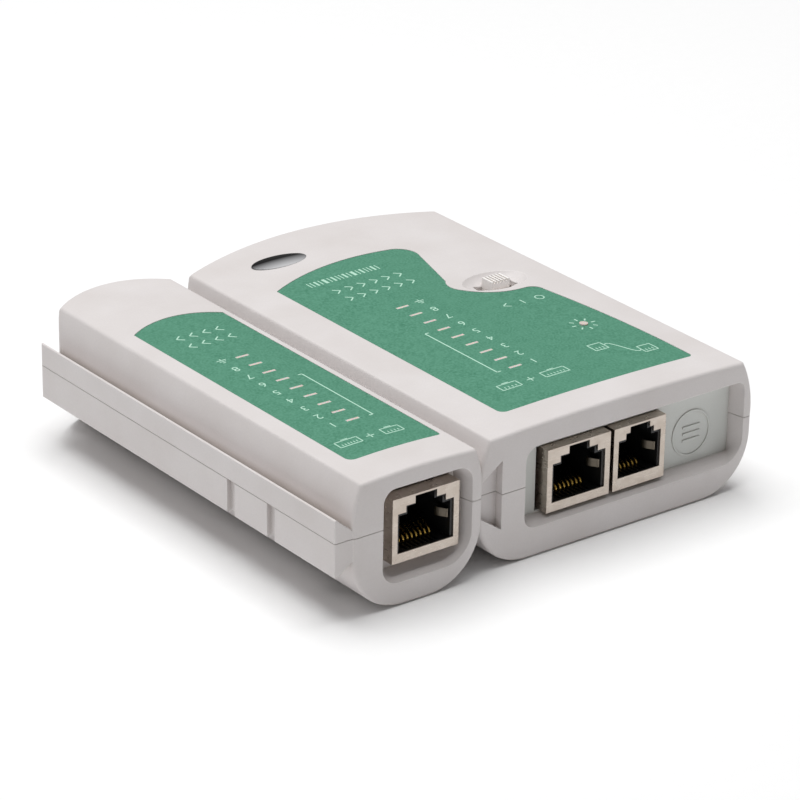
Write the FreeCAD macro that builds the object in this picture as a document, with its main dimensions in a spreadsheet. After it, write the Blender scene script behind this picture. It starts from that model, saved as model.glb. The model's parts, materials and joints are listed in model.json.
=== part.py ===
"""Network cable tester: a master unit and a remote unit lying side by side.

The frame is +Z up, +X to the master's side and +Y to the back; both units' sockets face -Y.
The origin is at the middle of the object's box, on the surface that it stands on.
Each unit is drawn in its own local frame (X from its middle, Y from its front face, Z from its
base), and every piece then gets its unit's place as its Placement. Lengths are in millimetres.
"""
import FreeCAD, Part
import math
import os

import Sketcher
from FreeCAD import Placement, Rotation, Vector

# ---------------------------------------------------------------- driving dimensions
DRIVING = {
    # both units
    "body_length": 106.0, "body_height": 28.0, "crown": 0.7, "wall": 2.2, "floor": 2.4,
    "unit_gap": 0.2, "unit_stagger": 1.5, "parting_gap": 0.06, "fit": 0.1,
    "heel_radius": 12.0, "edge_radius": 0.8,
    # master housing
    "master_top_width": 63.0, "master_bulge": 2.63, "master_parting": 15.3, "back_radius": 80.4,
    # remote housing
    "remote_top_width": 26.6, "remote_bulge": 1.7, "remote_parting": 16.7, "remote_back_radius": 22.0,
    # dovetail rail of the remote and its slot in the master
    "rail_depth": 3.94, "rail_bottom": 9.4, "rail_top": 21.75, "rail_root": 6.3, "rail_middle": 15.2,
    "rail_start": 0.3, "rail_end": 99.8, "notch_depth": 1.0,
    "slot_depth": 5.6, "slot_floor": 14.4, "slot_mouth": 7.2, "slot_stop": 2.0,
    # printed circuit boards, sockets and lamps
    "board_bottom": 20.6, "board_thickness": 1.6, "jack_height": 13.2, "jack_depth": 18.0,
    "jack45_width": 15.5, "jack11_width": 13.0, "jack45_at": -8.7, "jack11_at": 6.45,
    "jack_recess": 1.4, "pocket_depth": 3.9, "panel_thickness": 1.5, "remote_axis": 2.75,
    "remote_lift": 0.65,
    "lamp_pitch": 4.52, "lamp_first": 23.4, "lamp_length": 3.0, "lamp_width": 0.7,
    "master_lamps_at": -7.1, "remote_lamps_at": 2.0, "label_thickness": 0.3, "label_sink": 0.12,
    # power lens, badge and slide switch
    "power_at_x": 17.4, "power_at_y": 32.2, "lens_radius": 0.9, "badge_at_x": -13.4, "badge_at_y": 93.5,
    "switch_at_x": 17.2, "switch_at_y": 60.1,
    # battery and its door
    "battery_width": 26.5, "battery_length": 48.5, "battery_depth": 17.5, "battery_front": 44.0,
    "door_width": 31.0, "door_thickness": 1.4, "door_front": 42.0,
    # fasteners
    "screw_radius": 1.25, "screw_head": 2.3, "screw_sink": 6.0, "post_radius": 3.4,
}


class Size:
    """A length that carries both its number and the sheet expression that gives it."""

    def __init__(self, value, text):
        self.value = float(value)
        self.text = text

    def __add__(self, other):
        other = size(other)
        return Size(self.value + other.value, "(%s + %s)" % (self.text, other.text))

    def __sub__(self, other):
        other = size(other)
        return Size(self.value - other.value, "(%s - %s)" % (self.text, other.text))

    def __mul__(self, other):
        other = size(other)
        return Size(self.value * other.value, "(%s * %s)" % (self.text, other.text))

    def __truediv__(self, other):
        other = size(other)
        return Size(self.value / other.value, "(%s / %s)" % (self.text, other.text))

    def __neg__(self):
        return Size(-self.value, "(0 - %s)" % self.text)

    def __radd__(self, other):
        return size(other) + self

    def __rsub__(self, other):
        return size(other) - self

    def __rmul__(self, other):
        return size(other) * self

    def __float__(self):
        return self.value


def size(number):
    """Any number as a Size."""
    return number if isinstance(number, Size) else Size(number, "(%.6f)" % number)


def root(square):
    """The square root of a Size."""
    return Size(math.sqrt(square.value), "sqrt(%s)" % square.text)


class Dims:
    """The driving dimensions, as attributes that point at the sheet's cells."""


doc = FreeCAD.newDocument("CableTester")
sheet = doc.addObject("Spreadsheet::Sheet", "dims")
dim = Dims()
for row, (alias, number) in enumerate(DRIVING.items(), start=1):
    sheet.set("A%d" % row, alias)
    sheet.set("B%d" % row, str(number))
    sheet.setAlias("B%d" % row, alias)
    setattr(dim, alias, Size(number, "dims." + alias))
doc.recompute()

# ---------------------------------------------------------------- helpers
PLANES = {"XY": "XY_Plane", "XZ": "XZ_Plane", "YZ": "YZ_Plane"}
TURNS = {"z": Rotation(), "y": Rotation(Vector(1, 0, 0), -90), "x": Rotation(Vector(0, 1, 0), 90)}


def bind(item, path, number):
    """Bind one property to the sheet."""
    item.setExpression(path, size(number).text)


def put(item, place, rotation=Rotation()):
    """Place an object, with each coordinate bound to the sheet."""
    item.Placement = Placement(Vector(*[float(number) for number in place]), rotation)
    for axis, number in zip("xyz", place):
        bind(item, "Placement.Base." + axis, number)


def box(name, low, high):
    """A block from its lowest to its highest corner."""
    item = doc.addObject("Part::Box", name)
    for side, first, last in zip(("Length", "Width", "Height"), low, high):
        bind(item, side, size(last) - first)
    put(item, low)
    return item


def cylinder(name, base, radius, height, axis="z"):
    """A round bar that starts at base and runs along +axis."""
    item = doc.addObject("Part::Cylinder", name)
    bind(item, "Radius", radius)
    bind(item, "Height", height)
    put(item, base, TURNS[axis])
    return item


def fuse(name, shapes):
    """Two or more shapes as one solid."""
    item = doc.addObject("Part::MultiFuse", name)
    item.Shapes = shapes
    item.Refine = True
    return item


def common(name, shapes):
    """What all the shapes share."""
    item = doc.addObject("Part::MultiCommon", name)
    item.Shapes = shapes
    return item


def cut(name, base, tools):
    """Base less every tool, all in one cut."""
    item = doc.addObject("Part::Cut", name)
    item.Base = base
    item.Tool = tools[0] if len(tools) == 1 else fuse(name + "_tools", tools)
    item.Refine = True
    return item


def group(name, shapes):
    """Separate solids held together as one piece's shape."""
    item = doc.addObject("Part::Compound", name)
    item.Links = shapes
    return item


def arc_geometry(first, last, radius):
    """The minor arc from first to last; a positive radius turns to the left. Also says its turn."""
    (ax, ay), (bx, by) = first, last
    half = math.hypot(bx - ax, by - ay) / 2
    rise = math.sqrt(max(radius * radius - half * half, 0.0))
    side = 1 if radius > 0 else -1
    cx = (ax + bx) / 2 - side * rise * (by - ay) / (2 * half)
    cy = (ay + by) / 2 + side * rise * (bx - ax) / (2 * half)
    circle = Part.Circle(Vector(cx, cy, 0), Vector(0, 0, 1), abs(radius))
    start, end = (first, last) if side > 0 else (last, first)
    angles = [math.atan2(point[1] - cy, point[0] - cx) for point in (start, end)]
    if angles[1] < angles[0]:
        angles[1] += 2 * math.pi
    return Part.ArcOfCircle(circle, *angles), side > 0


def draw(sketch, outline):
    """A closed outline of (x, y) corners; a third entry is the radius of the arc that leaves it."""
    ends = []
    corners = [(float(corner[0]), float(corner[1])) for corner in outline]
    for index, corner in enumerate(outline):
        first, last = corners[index], corners[(index + 1) % len(corners)]
        forward = True
        if len(corner) == 3:
            shape, forward = arc_geometry(first, last, float(corner[2]))
        else:
            shape = Part.LineSegment(Vector(*first, 0), Vector(*last, 0))
        number = sketch.addGeometry(shape, False)
        ends.append((number, 1 if forward else 2, 2 if forward else 1))
    for index, corner in enumerate(outline):
        number, start, _ = ends[index]
        before, _, end = ends[index - 1]
        sketch.addConstraint(Sketcher.Constraint("Coincident", before, end, number, start))
        for kind, length in (("DistanceX", corner[0]), ("DistanceY", corner[1])):
            rule = sketch.addConstraint(
                Sketcher.Constraint(kind, -1, 1, number, start, float(length)))
            bind(sketch, "Constraints[%d]" % rule, length)
        if len(corner) == 3:
            radius = corner[2] if float(corner[2]) > 0 else -corner[2]
            rule = sketch.addConstraint(Sketcher.Constraint("Radius", number, float(radius)))
            bind(sketch, "Constraints[%d]" % rule, radius)


def sketch_in(body, name, plane, offset, outline):
    """A sketch of one closed outline on one of the body's own origin planes."""
    sketch = body.newObject("Sketcher::SketchObject", name)
    role = PLANES[plane]
    sketch.AttachmentSupport = [(next(f for f in body.Origin.OriginFeatures if f.Role == role), "")]
    sketch.MapMode = "FlatFace"
    bind(sketch, "AttachmentOffset.Base.z", size(offset) * (-1 if plane == "XZ" else 1))
    draw(sketch, outline)
    return sketch


def prism(name, plane, outline, start, end, taper=0.0):
    """A PartDesign body: an outline padded from start to end along the plane's third axis."""
    body = doc.addObject("PartDesign::Body", name)
    pad = body.newObject("PartDesign::Pad", name + "_pad")
    pad.Profile = sketch_in(body, name + "_outline", plane, start, outline)
    pad.Reversed = plane == "XZ"
    bind(pad, "Length", size(end) - start)
    if taper:
        pad.TaperAngle = taper
    body.Tip = pad
    return body


def flared(name, first, last, start, end):
    """A PartDesign body along Y whose section runs straight from one outline to another."""
    body = doc.addObject("PartDesign::Body", name)
    loft = body.newObject("PartDesign::AdditiveLoft", name + "_loft")
    loft.Profile = sketch_in(body, name + "_first", "XZ", start, first)
    loft.Sections = [sketch_in(body, name + "_last", "XZ", end, last)]
    loft.Ruled = True
    body.Tip = loft
    return body


def trim(body, name, plane, outline, depth):
    """A PartDesign pocket through the body, from its origin plane along the third axis."""
    pocket = body.newObject("PartDesign::Pocket", name)
    pocket.Profile = sketch_in(body, name + "_outline", plane, 0, outline)
    pocket.Reversed = True
    bind(pocket, "Length", depth)
    body.Tip = pocket


def rounded(low, high, radii):
    """A rectangle with its own radius at each corner: left front, right front, right back, left back."""
    (x0, y0), (x1, y1) = low, high
    a, b, c, d = [size(radius) for radius in radii]
    x0, y0, x1, y1 = [size(number) for number in (x0, y0, x1, y1)]
    return [(x0 + a, y0), (x1 - b, y0, b), (x1, y0 + b), (x1, y1 - c, c), (x1 - c, y1),
            (x0 + d, y1, d), (x0, y1 - d), (x0, y0 + a, a)]


def soften(body, radius, pick, name):
    """A PartDesign fillet on the edges that pick accepts."""
    doc.recompute()
    edges = ["Edge%d" % number for number, edge in enumerate(body.Shape.Edges, start=1) if pick(edge)]
    fillet = body.newObject("PartDesign::Fillet", name)
    fillet.Base = (body.Tip if body.Tip != fillet else fillet.BaseFeature, edges)
    bind(fillet, "Radius", radius)
    body.Tip = fillet
    return body


PIECES = {}


def piece(node, shape, unit):
    """Name a finished piece, and give it its unit's place."""
    shape.Label = node
    put(shape, unit)
    PIECES[node] = shape


# ---------------------------------------------------------------- worked-out places
master_half = dim.master_top_width / 2
master_wide = master_half + dim.master_bulge
remote_half = dim.remote_top_width / 2
remote_wide = remote_half + dim.remote_bulge
overall_width = 2 * master_wide + dim.unit_gap + 2 * remote_wide + dim.rail_depth
overall_length = dim.body_length + dim.unit_stagger
edge_height = dim.body_height - dim.crown
inner_heel = dim.heel_radius - dim.wall
board_top = dim.board_bottom + dim.board_thickness
bars_low = board_top + 2.5
jack_bottom = dim.board_bottom - dim.jack_height
contact_pitch = size(1.02)
post_top, screw_top = size(26.0), size(23.0)

MASTER = (overall_width / 2 - master_wide, dim.unit_stagger - overall_length / 2, size(0))
REMOTE = (remote_wide + dim.rail_depth - overall_width / 2, -overall_length / 2, size(0))
REMOTE_INSIDE = (REMOTE[0], REMOTE[1], dim.remote_lift)

# ---------------------------------------------------------------- housings
def arch_outline(wide, length, radius, corner):
    """What lies behind an arched back: its apex is at length, and round corners meet the sides."""
    middle, spread = length - radius, radius - corner
    rise = root(spread * spread - (wide - corner) * (wide - corner))
    side, meet_x, meet_y = middle + rise, radius * (wide - corner) / spread, middle + radius * rise / spread
    reach, beyond = wide + 5, length + 5
    return [(reach, side), (wide, side, corner), (meet_x, meet_y, radius), (-meet_x, meet_y, corner),
            (-wide, side), (-reach, side), (-reach, beyond), (reach, beyond)]


def shell_form(name, upper, half, wide, parting, crown, back_radius, corner):
    """One shell's solid outer form: its part of the section run along Y, with an arched back."""
    heel, side_arc = dim.heel_radius, size(21.0)
    crown_arc = (half * half + crown * crown) / (2 * crown)
    if upper:
        seam = parting + dim.parting_gap / 2
        section = [(-wide, seam), (wide, seam, side_arc), (half, edge_height, crown_arc),
                   (-half, edge_height, side_arc)]
    else:
        seam = parting - dim.parting_gap / 2
        section = [(wide - heel, size(0), heel), (wide, heel), (wide, seam), (-wide, seam),
                   (-wide, heel, heel), (heel - wide, size(0))]
    body = prism(name, "XZ", section, 0, dim.body_length)
    arch = arch_outline(wide, dim.body_length, back_radius, corner)
    trim(body, name + "_arch", "XY", arch, dim.body_height + 2)

    def outer(edge):
        bounds = edge.BoundBox
        in_front = bounds.YMax < 0.01 and max(abs(z - float(seam)) for z in (bounds.ZMin, bounds.ZMax)) > 0.01
        return in_front or bounds.ZMin > float(edge_height) - 0.01

    return soften(body, dim.edge_radius, outer, name + "_rim")


def cavity(name, plan_half, sides, turns, front, back_radius, corner):
    """The hollow of one unit, a wall's thickness inside its outer form; turns are its lower corners."""
    low, high, lean = dim.floor, edge_height - dim.wall + 0.2, size(1.6)
    (left, right), (left_turn, right_turn) = sides, turns
    section = [(left + left_turn, low), (right - right_turn, low, right_turn), (right, low + right_turn),
               (right, dim.master_parting), (right - lean, high), (left + lean, high),
               (left, dim.master_parting), (left, low + left_turn, left_turn)]
    length = dim.body_length - dim.wall
    body = prism(name, "XZ", section, front, length)
    arch = arch_outline(plan_half, length, back_radius - dim.wall, corner)
    trim(body, name + "_arch", "XY", arch, dim.body_height)
    return body


def dovetail(name, mouth_x, floor_x, middle, mouth, floor, start, end):
    """A dovetail bar along Y: mouth tall at mouth_x, floor tall at floor_x."""
    outline = [(mouth_x, middle - mouth / 2), (mouth_x, middle + mouth / 2),
               (floor_x, middle + floor / 2), (floor_x, middle - floor / 2)]
    return prism(name, "XZ", outline, start, end)


def crowned_slab(name, half, crown, sink):
    """Everything under the top's crowned surface lowered by sink."""
    radius = (half * half + crown * crown) / (2 * crown)
    return cylinder(name, (0, -10, edge_height + crown - radius - sink), radius, 150, "y")


def posts(name, places, low, high, radius):
    """Upright round bars at the places."""
    return [cylinder("%s_%d" % (name, number), (x, y, low), radius, size(high) - low)
            for number, (x, y) in enumerate(places)]


# ---------------------------------------------------------------- sockets
def stepped(name, centre, bottom, widths, heights, start, end):
    """A plug opening: a wide mouth with two narrower steps above it for the plug's latch."""
    half = [size(width) / 2 for width in widths]
    z = [bottom + height for height in heights]
    outline = [(centre - half[0], z[0]), (centre + half[0], z[0]), (centre + half[0], z[1]),
               (centre + half[1], z[1]), (centre + half[1], z[2]), (centre + half[2], z[2]),
               (centre + half[2], z[3]), (centre - half[2], z[3]), (centre - half[2], z[2]),
               (centre - half[1], z[2]), (centre - half[1], z[1]), (centre - half[0], z[1])]
    return prism(name, "XZ", outline, start, end)


SOCKETS = {
    "rj45": {"mouth": ((13.0, 9.2, 5.0), (1.9, 10.0, 11.3, 12.8)),
             "well": ((11.9, 8.2, 4.4), (1.7, 9.4, 10.9, 12.5)), "ways": 8},
    "rj11": {"mouth": ((10.6, 7.0, 5.0), (2.5, 10.4, 11.6, 12.8)),
             "well": ((9.9, 6.4, 4.2), (2.2, 9.8, 11.2, 12.5)), "ways": 6},
}


def socket(prefix, kind, centre, width, unit):
    """A shielded modular socket hung under the board: its shield, insert and contacts."""
    shape = SOCKETS[kind]
    sheet_metal, gap, pitch = size(0.35), size(0.03), contact_pitch
    front, low, high = dim.jack_recess, jack_bottom, dim.board_bottom
    back = front + dim.jack_depth
    left, right = centre - width / 2, centre + width / 2
    well_end = front + 14.0

    shell = box(prefix + "_can", (left, front, low), (right, back, high))
    hollow = box(prefix + "_hollow", (left + sheet_metal, front + sheet_metal, low + sheet_metal),
                 (right - sheet_metal, back - sheet_metal, high - sheet_metal))
    mouth = stepped(prefix + "_mouth", centre, low, *shape["mouth"], front - 1, front + sheet_metal + 0.1)
    margin = size(1.6)
    slit = box(prefix + "_pin_slit", (left + margin, back - 7.6, high - 1),
               (right - margin, back - 1, high + 1))
    ears = [box("%s_ear_%d" % (prefix, side), (x - 0.6, front + 8, high), (x + 0.6, front + 9.2, high + 3))
            for side, x in enumerate((left + 0.8, right - 0.8))]
    eared = fuse(prefix + "_shield_ears", [shell] + ears)
    piece(prefix + "_shield", cut(prefix + "_shield_cut", eared, [hollow, mouth, slit]), unit)

    inner = sheet_metal + gap
    block = box(prefix + "_block", (left + inner, front + inner, low + inner),
                (right - inner, back - inner, high - inner))
    well = stepped(prefix + "_well", centre, low, *shape["well"], front, well_end)
    ways = shape["ways"]
    first = centre - pitch * ((ways - 1) / 2)
    tunnels = [box("%s_comb_%d" % (prefix, way), (first + pitch * way - 0.3, front + 1.2, low + 0.9),
                   (first + pitch * way + 0.3, back - 1.0, low + 2.6)) for way in range(ways)]
    leads = [box("%s_lead_way_%d" % (prefix, way), (first + pitch * way - 0.3, back - 2.0, low + 0.9),
                 (first + pitch * way + 0.3, back - 1.0, high)) for way in range(ways)]
    piece(prefix + "_insert", cut(prefix + "_insert_cut", block, [well] + tunnels + leads), unit)

    wires = []
    for way in range(ways):
        x = first + pitch * way
        run = [(front + 1.6, low + 1.1), (back - 1.3, low + 1.1), (back - 1.3, high + 2.6),
               (back - 1.7, high + 2.6), (back - 1.7, low + 1.5), (front + 3.1, low + 1.5),
               (front + 11.2, low + 6.2), (front + 11.0, low + 6.6), (front + 1.6, low + 1.6)]
        wires.append(prism("%s_wire_%d" % (prefix, way), "YZ", run, x - 0.2, x + 0.2))
    piece(prefix + "_contacts", group(prefix + "_wires", wires), unit)


# ---------------------------------------------------------------- boards and what they carry
class Board:
    """A printed circuit board: remembers the leg holes of the parts soldered to it."""

    under = dim.board_bottom - 0.4

    def __init__(self, prefix):
        self.prefix = prefix
        self.holes = []

    def leg(self, x, y, low, high, thick=0.5):
        """One square leg through the board."""
        name = "%s_leg_%d" % (self.prefix, len(self.holes))
        half, room = size(thick) / 2, size(thick) / 2 + 0.1
        x, y = size(x), size(y)
        self.holes.append(box(name + "_hole", (x - room, y - room, dim.board_bottom - 1),
                              (x + room, y + room, board_top + 1)))
        return box(name, (x - half, y - half, low), (x + half, y + half, high))

    def plate(self, low, high, notches, unit):
        """The board itself, from corner to corner, less its holes and notches."""
        plate = box(self.prefix + "_board_plate", (*low, dim.board_bottom), (*high, board_top))
        piece(self.prefix + "_board", cut(self.prefix + "_board_cut", plate, self.holes + notches), unit)


def lamp_row(board, node, across, unit):
    """Nine rectangular lamps in a row along Y, each on two legs."""
    lamps = []
    for number in range(9):
        y = dim.lamp_first + dim.lamp_pitch * number
        body = box("%s_body_%d" % (node, number), (across - 1.6, y - 0.9, board_top + 0.3),
                   (across + 1.6, y + 0.9, board_top + 2.4))
        legs = [board.leg(across + side * 1.0, y, board.under, board_top + 0.3) for side in (-1, 1)]
        lamps.append(fuse("%s_%d" % (node, number), [body] + legs))
    piece(node, group(node, lamps), unit)


def lamp_bars(name, across, low):
    """Nine flat bars in a row along Y: the clear plastic ones, or the slots for them."""
    half_x, half_y = dim.lamp_length / 2, dim.lamp_width / 2
    bars = []
    for number in range(9):
        y = dim.lamp_first + dim.lamp_pitch * number
        bars.append(box("%s_%d" % (name, number), (across - half_x, y - half_y, low),
                        (across + half_x, y + half_y, 40)))
    return bars


def light_windows(prefix, across, half, crown, unit, lift=0):
    """The clear bars that carry the lamps' light up to the label's face."""
    bars = fuse(prefix + "_bar_set", lamp_bars(prefix + "_bar", across, bars_low + lift))
    face = crowned_slab(prefix + "_bar_face", half, crown, dim.label_sink)
    piece(prefix + "_light_windows", common(prefix + "_bars", [bars, face]), unit)


def axial_parts(board, node, places, radius, length, unit):
    """Small round parts lying on the board's top along X, such as resistors and diodes."""
    made = []
    middle, reach = board_top + radius + 0.1, size(length) / 2 + 1.2
    for number, (x, y) in enumerate(places):
        x, y = size(x), size(y)
        body = cylinder("%s_body_%d" % (node, number), (x - length / 2, y, middle), radius, length, "x")
        wire = box("%s_wire_%d" % (node, number), (x - reach, y - 0.25, middle - 0.25),
                   (x + reach, y + 0.25, middle + 0.25))
        legs = [board.leg(x + side * (reach - 0.25), y, board.under, middle) for side in (-1, 1)]
        made.append(fuse("%s_%d" % (node, number), [body, wire] + legs))
    piece(node, group(node, made), unit)


def chip(board, node, x, y, ways, unit):
    """A dual in-line chip hung under the board along X; its pins are returned."""
    pitch, row, deep = size(2.54), size(3.81), size(3.2)
    per_side = ways // 2
    half = pitch * per_side / 2
    high = dim.board_bottom - 0.5
    body = box(node + "_body", (x - half, y - deep, high - 3.2), (x + half, y + deep, high))
    piece(node, group(node, [body]), unit)
    pins = []
    for number in range(per_side):
        at = size(x) + pitch * (number - (per_side - 1) / 2)
        for side in (-1, 1):
            leg = board.leg(at, y + side * row, high - 1.7, board_top + 0.05)
            inner, outer = sorted((y + side * deep, y + side * row), key=float)
            shoulder = box("%s_shoulder_%d_%d" % (node, number, side),
                           (at - 0.25, inner, high - 1.7), (at + 0.25, outer, high - 1.4))
            pins.append(fuse("%s_pin_%d_%d" % (node, number, side), [leg, shoulder]))
    return pins


def lead(node, x, unit):
    """A battery lead: straight out of the snap, one round bend, and up to the board."""
    wire, bend = size(0.6), size(3.0)
    middle = dim.floor + 0.2 + dim.battery_depth / 2
    start, rise = dim.battery_front - 4.4, dim.battery_front - 9.3
    along = cylinder(node + "_along", (x, rise + bend, middle), wire, start - rise - bend, "y")
    up = cylinder(node + "_up", (x, rise, middle + bend), wire, dim.board_bottom - middle - bend)
    turn = doc.addObject("Part::Torus", node + "_turn")
    bind(turn, "Radius1", bend)
    bind(turn, "Radius2", wire)
    turn.Angle3 = 90
    down, front, left = Vector(0, 0, -1), Vector(0, -1, 0), Vector(-1, 0, 0)
    put(turn, (x, rise + bend, middle + bend), Rotation(down, front, left, "ZXY"))
    piece(node, fuse(node + "_whole", [along, turn, up]), unit)


def oval(name, x, y, long_radius, short_radius, low, high):
    """An upright bar of oval section."""
    ellipse = doc.addObject("Part::Ellipse", name + "_edge")
    bind(ellipse, "MajorRadius", long_radius)
    bind(ellipse, "MinorRadius", short_radius)
    put(ellipse, (x, y, low))
    item = doc.addObject("Part::Extrusion", name)
    item.Base = ellipse
    item.Dir = Vector(0, 0, 1)
    item.Solid = True
    bind(item, "LengthFwd", size(high) - low)
    return item


def inset(node, shape, half, crown, sink, thickness, windows, unit):
    """A thin plate let into the crowned top: makes the plate and returns its recess."""
    bed = crowned_slab(node + "_bed", half, crown, size(sink) + thickness)
    face = crowned_slab(node + "_face", half, crown, sink)
    plate = cut(node + "_plate", common(node + "_under_face", [shape, face]), [bed])
    piece(node, cut(node + "_cut", plate, windows) if windows else plate, unit)
    return cut(node + "_recess", shape, [bed])


# ---------------------------------------------------------------- what joins the shells and the boards
def case_joint(prefix, base_form, places, parting):
    """Posts of the two shells that meet at the parting line, and their screw holes."""
    half_gap = dim.parting_gap / 2
    standing = posts(prefix + "_low_post", places, 1, parting - half_gap, dim.post_radius)
    low_posts = common(prefix + "_low_posts", [base_form, fuse(prefix + "_low_post_set", standing)])
    high_posts = posts(prefix + "_high_post", places, parting + half_gap, post_top, dim.post_radius)
    bores = posts(prefix + "_bore", places, -1, parting, dim.screw_radius + 0.15)
    sinks = posts(prefix + "_sink", places, -1, dim.screw_sink, dim.screw_head + 0.2)
    pilots = posts(prefix + "_pilot", places, parting - 1, screw_top + 0.5, dim.screw_radius)
    return low_posts, high_posts, bores + sinks, pilots


def case_screws(node, places, unit):
    """Cross-slotted screws in one node, which enter from below and hold the two shells together."""
    head_height, slot_depth, slot_half, slot_reach = size(1.6), size(0.7), 0.25, 1.4
    low = dim.screw_sink - head_height
    made = []
    for number, (x, y) in enumerate(places):
        head = cylinder("%s_head_%d" % (node, number), (x, y, low), dim.screw_head, head_height)
        shank = cylinder("%s_shank_%d" % (node, number), (x, y, dim.screw_sink), dim.screw_radius,
                         screw_top - dim.screw_sink)
        slots = [box("%s_slot_%s_%d" % (node, way, number), (x - across, y - along, low - 0.1),
                     (x + across, y + along, low + slot_depth))
                 for way, across, along in (("across", slot_reach, slot_half),
                                            ("along", slot_half, slot_reach))]
        whole = fuse("%s_whole_%d" % (node, number), [head, shank])
        made.append(cut("%s_one_%d" % (node, number), whole, slots))
    piece(node, group(node, made), unit)


def board_joint(prefix, places, unit, lift=0):
    """Bosses under a top shell that a board is screwed up against, and the screws that hold it."""
    reach, boss, shank_radius, head_radius, head_height = size(24.6), 2.4, 1.0, 1.9, 1.3
    bosses = posts(prefix + "_boss", places, board_top + lift, post_top, boss)
    pilots = posts(prefix + "_boss_pilot", places, board_top - 1, reach + lift, shank_radius)
    holes = posts(prefix + "_board_hole", places, dim.board_bottom - 1, board_top + 1, shank_radius + 0.1)
    node, made = prefix + "_board_screws", []
    for number, (x, y) in enumerate(places):
        head = cylinder("%s_head_%d" % (node, number), (x, y, dim.board_bottom - head_height),
                        head_radius, head_height)
        shank = cylinder("%s_shank_%d" % (node, number), (x, y, dim.board_bottom), shank_radius,
                         reach - dim.board_bottom)
        made.append(fuse("%s_%d" % (node, number), [head, shank]))
    piece(node, group(node, made), unit)
    return bosses, pilots, holes


def jack_holes(prefix, centre, width, ways):
    """The board's slots for one socket's ears and row of pins."""
    ear_y, pin_y = dim.jack_recess + 8.6, dim.jack_recess + dim.jack_depth - 1.5
    ears = [box("%s_ear_hole_%d" % (prefix, side), (centre + side * (width / 2 - 0.8) - 0.8, ear_y - 0.8, 15),
                (centre + side * (width / 2 - 0.8) + 0.8, ear_y + 0.8, 30)) for side in (-1, 1)]
    pins = []
    for way in range(ways):
        x = centre + contact_pitch * (way - (ways - 1) / 2)
        pins.append(box("%s_pin_hole_%d" % (prefix, way), (x - 0.3, pin_y - 0.4, 15),
                        (x + 0.3, pin_y + 0.4, 30)))
    return ears + pins


# ---------------------------------------------------------------- master unit
MASTER_POSTS = [(-21.5, 12.0), (25.0, 12.0), (-21.5, 92.0), (23.5, 92.0)]
MASTER_BOSSES = [(-20.5, 30.0), (25.5, 30.0), (-19.5, 82.0), (22.0, 82.0)]


def emblem():
    """A raised ring with three short bars, on the face of the panel."""
    x, z, proud, face = size(21.8), size(13.4), size(0.2), dim.pocket_depth
    disc = cylinder("panel_ring_out", (x, face - proud, z), 4.9, proud, "y")
    middle = cylinder("panel_ring_in", (x, face - 1, z), 4.5, 1, "y")
    bars = [box("panel_bar_%d" % number, (x - 2.2, face - proud, z + rise - 0.25),
                (x + 2.2, face, z + rise + 0.25)) for number, rise in enumerate((-1.4, 0.0, 1.4))]
    return [cut("panel_ring", disc, [middle])] + bars


def master_front():
    """The shallow pocket that the sockets stand in, and the blank plate let in behind it."""
    behind = dim.pocket_depth + dim.panel_thickness
    edge = rounded((-22.9, 6.2), (32.05, 23.25), (2.6, 5.0, 2.2, 3.0))
    face = rounded((-22.2, 7.0), (31.4, 22.6), (0.4,) * 4)
    rim = rounded((-22.6, 6.6), (31.8, 23.0), (0.6,) * 4)
    pocket = flared("master_pocket", edge, face, 0, dim.pocket_depth)
    rebate = prism("master_rebate", "XZ", rim, dim.pocket_depth, behind + 1)
    plate = prism("panel_plate", "XZ", rim, dim.pocket_depth, behind)
    left = dim.jack45_at - dim.jack45_width / 2 - 0.9
    right = dim.jack11_at + dim.jack11_width / 2 + 0.1
    gate = box("panel_gate", (left, 0, jack_bottom - 0.1), (right, 10, dim.board_bottom + 0.1))
    piece("port_panel", cut("panel_cut", fuse("panel_marked", [plate] + emblem()), [gate]), MASTER)
    return [pocket, rebate]


def master_label():
    """The printed plate of the master's top, with a wave in its right edge; returns its recess."""
    outline = [(-21.2, 7.9), (24.0, 7.9, 1.1), (25.1, 9.0, 240.0), (22.7, 50.9, 2.6), (20.2, 53.8),
               (18.6, 53.8, -12.5), (8.0, 59.6, -4.2), (8.2, 65.2), (12.5, 79.6, 4.4), (9.4, 85.7, 50.0),
               (-22.8, 81.0), (-22.8, 9.5, 1.6)]
    shape = prism("master_label_form", "XY", outline, 20, 40)
    holes = lamp_bars("master_lamp_slot", dim.master_lamps_at, 22)
    holes.append(cylinder("power_hole", (dim.power_at_x, dim.power_at_y, 22), dim.lens_radius, 20))
    recess = inset("master_label", shape, master_half, dim.crown, dim.label_sink, dim.label_thickness,
                   holes, MASTER)
    return [recess] + holes


def master_top():
    """Label, light bars, power lens and badge; returns all that they and the switch cut from the top."""
    openings = master_label()
    light_windows("master", dim.master_lamps_at, master_half, dim.crown, MASTER)
    lens = cylinder("power_lens_bar", (dim.power_at_x, dim.power_at_y, bars_low), dim.lens_radius, 10)
    lens_face = crowned_slab("power_lens_face", master_half, dim.crown, dim.label_sink - 0.25)
    piece("power_lens", common("power_lens_shape", [lens, lens_face]), MASTER)
    badge = oval("badge_form", dim.badge_at_x, dim.badge_at_y, 6.6, 3.0, 20, 40)
    openings.append(inset("oval_badge", badge, master_half, dim.crown, size(-0.15), 0.6, [], MASTER))

    dish = doc.addObject("Part::Ellipsoid", "switch_dish")
    for name, radius in (("Radius1", 4.5), ("Radius2", 9.5), ("Radius3", 5.7)):
        bind(dish, name, radius)
    x, y = dim.switch_at_x, dim.switch_at_y
    put(dish, (x, y, dim.body_height + 2.4))
    window = box("switch_window", (x - 4.5, y - 1.8, 20), (x + 4.5, y + 1.8, 40))
    return openings + [dish, window]


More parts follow.
